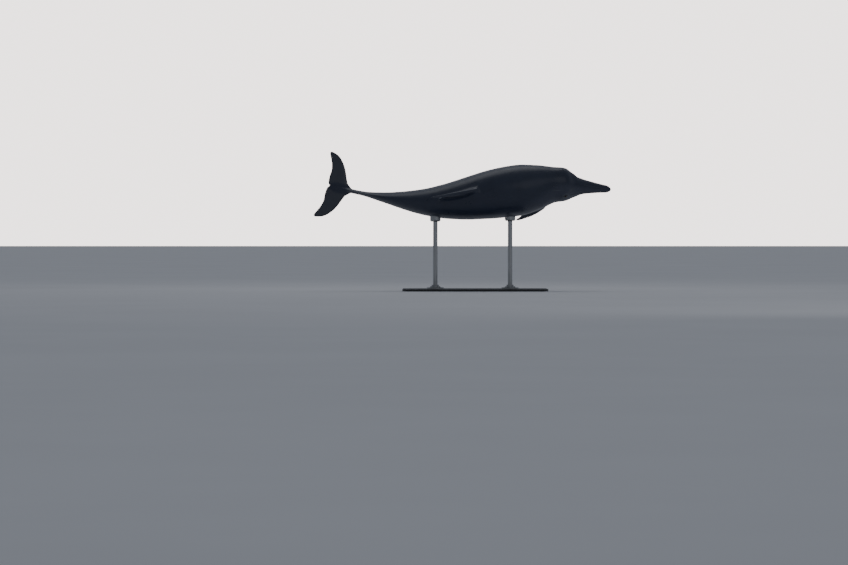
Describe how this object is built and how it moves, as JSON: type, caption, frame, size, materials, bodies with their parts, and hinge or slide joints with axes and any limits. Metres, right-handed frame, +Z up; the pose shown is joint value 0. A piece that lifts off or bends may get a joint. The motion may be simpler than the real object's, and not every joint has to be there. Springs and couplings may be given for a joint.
{
  "type": "bottlenose dolphin",
  "caption": "Life-size still model of a leaping bottlenose dolphin, rolled on its right side with twisted body and slim beak, held by a flat base and rods.",
  "frame": {"origin": "centre of the stand base's underside, on the floor", "axes": "+X towards the dolphin's beak, -Y the side that its back faces, +Z up"},
  "size_m": [2.5944, 0.7712, 1.2168],
  "materials": {
    "skin_dark": "wet, satin, smooth",
    "skin_grey": "wet, satin, smooth",
    "eye": "wet, glossy",
    "powder_coat": "fine satin powder coat on steel plate",
    "steel": "brushed"
  },
  "bodies": {
    "root": {"upper_beak": "skin_dark", "lower_jaw": "skin_grey", "head": "skin_dark", "chest": "skin_dark", "trunk": "skin_dark", "tail_stock": "skin_dark", "dorsal_fin": "skin_dark", "flipper_left": "skin_dark", "flipper_right": "skin_dark", "fluke_left": "skin_dark", "fluke_right": "skin_dark", "eye_left": "eye", "eye_right": "eye", "stand_base": "powder_coat", "stand_rod_front": "steel", "stand_flange_front": "steel", "stand_collar_front": "steel", "stand_rod_rear": "steel", "stand_flange_rear": "steel", "stand_collar_rear": "steel"}
  },
  "joints": []
}
